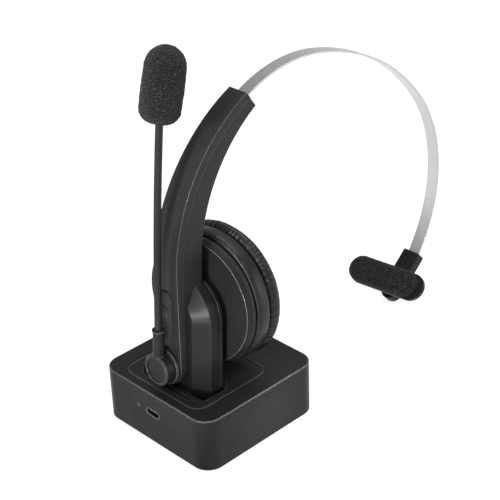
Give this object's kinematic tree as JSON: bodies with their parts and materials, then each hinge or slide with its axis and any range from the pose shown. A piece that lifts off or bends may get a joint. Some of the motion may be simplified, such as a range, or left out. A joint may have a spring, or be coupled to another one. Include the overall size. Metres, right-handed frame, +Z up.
{
  "type": "office headset",
  "caption": "Mono wireless office headset with a boom microphone and temple pad, leaning in a square charging stand.",
  "frame": {"origin": "centre of the non-slip foot, on the surface the stand rests on", "axes": "+Z up, +X from the ear cup towards the temple pad, +Y towards the left of someone facing along +X"},
  "size_m": [0.2114, 0.075, 0.1986],
  "materials": {
    "stand_plastic": "fine satin moulded ABS, charcoal black",
    "panel_plastic": "satin moulded ABS, slightly darker",
    "foot_rubber": "matt non-slip silicone",
    "ballast_steel": "zinc-plated plate",
    "screw_steel": "blackened screw steel",
    "circuit_board": "green solder mask",
    "port_metal": "nickel-plated shell",
    "contact_gold": "gold-plated contacts",
    "light_pipe": "frosted light pipe",
    "arm_plastic": "satin soft-touch charcoal plastic",
    "pod_plastic": "satin charcoal plastic",
    "key_rubber": "satin keys with raised symbols",
    "battery_wrap": "grey foil wrap",
    "guide_plastic": "natural acetal",
    "stalk_braid": "ribbed black sleeve over a bendable stalk",
    "capsule_metal": "microphone capsule can",
    "foam": "open-cell black foam",
    "band_steel": "satin spring steel strip",
    "clip_plastic": "satin black plastic",
    "cup_plastic": "satin charcoal plastic",
    "driver": "loudspeaker frame and cone",
    "cloth": "black acoustic cloth",
    "leatherette": "black protein leather"
  },
  "bodies": {
    "stand": {"stand_housing": "stand_plastic", "dock_panel": "panel_plastic", "stand_base_plate": "stand_plastic", "stand_screws": "screw_steel", "non_slip_foot": "foot_rubber", "ballast_plate": "ballast_steel", "port_board": "circuit_board", "usb_c_receptacle": "port_metal", "status_light_pipe": "light_pipe", "charge_board": "circuit_board", "pin_block": "stand_plastic"},
    "charge_pins": {"charge_pins": "contact_gold"},
    "headset": {"arm_outer_cover": "arm_plastic", "arm_inner_shell": "arm_plastic", "pod_housing": "pod_plastic", "pod_back_cover": "pod_plastic", "pod_screws": "screw_steel", "battery": "battery_wrap", "main_board": "circuit_board", "charge_contacts": "contact_gold", "key_board": "circuit_board", "dome_switches": "port_metal", "band_guide_pads": "guide_plastic", "boom_boss": "arm_plastic", "swivel_pin": "screw_steel"},
    "boom": {"boom_hub": "arm_plastic", "hub_cap": "arm_plastic", "boom_retainer": "screw_steel", "gooseneck": "stalk_braid", "collar_ring": "arm_plastic", "microphone_housing": "arm_plastic", "microphone_capsule": "capsule_metal", "foam_windscreen": "foam"},
    "band": {"head_band": "band_steel", "band_end_stop": "screw_steel", "temple_clip": "clip_plastic", "temple_pivot_pin": "screw_steel"},
    "temple_pad": {"temple_plate": "clip_plastic", "temple_foam_pad": "foam"},
    "ear_cup": {"cup_shell": "cup_plastic", "cup_baffle": "cup_plastic", "cup_screws": "screw_steel", "speaker_driver": "driver", "speaker_cloth": "cloth", "ear_cushion": "leatherette"},
    "volume_up_button": {"volume_up_button": "key_rubber"},
    "call_button": {"call_button": "key_rubber"},
    "volume_down_button": {"volume_down_button": "key_rubber"}
  },
  "joints": [
    {"name": "headset_lift", "type": "slide", "parent": "stand", "child": "headset", "axis": [0.061, 0, 0.9981], "range_m": [0, 0.06]},
    {"name": "charge_pin_press", "type": "slide", "parent": "stand", "child": "charge_pins", "axis": [-0.061, 0, -0.9981], "range_m": [0, 0.0008], "stiffness_N_per_m": 300},
    {"name": "boom_turn", "type": "hinge", "parent": "headset", "child": "boom", "pos_m": [-0.03058, 0, 0.04054], "axis": [0.9981, 0, -0.061], "range_deg": [-100, 100]},
    {"name": "band_extend", "type": "hinge", "parent": "headset", "child": "band", "pos_m": [0.06327, 0, 0.09473], "axis": [0, 1, 0], "range_deg": [0, 20]},
    {"name": "temple_tilt", "type": "hinge", "parent": "band", "child": "temple_pad", "pos_m": [0.1388, 0, 0.01327], "axis": [0, 1, 0], "range_deg": [-18, 18]},
    {"name": "ear_cup_swivel", "type": "hinge", "parent": "headset", "child": "ear_cup", "pos_m": [-0.00949, 0, 0.0659], "axis": [0.061, 0, 0.9981], "range_deg": [-9, 0]},
    {"name": "volume_up_press", "type": "slide", "parent": "headset", "child": "volume_up_button", "axis": [0.9981, 0, -0.061], "range_m": [0, 0.0003], "stiffness_N_per_m": 3000},
    {"name": "call_press", "type": "slide", "parent": "headset", "child": "call_button", "axis": [0.9981, 0, -0.061], "range_m": [0, 0.0003], "stiffness_N_per_m": 3000},
    {"name": "volume_down_press", "type": "slide", "parent": "headset", "child": "volume_down_button", "axis": [0.9981, 0, -0.061], "range_m": [0, 0.0003], "stiffness_N_per_m": 3000}
  ]
}
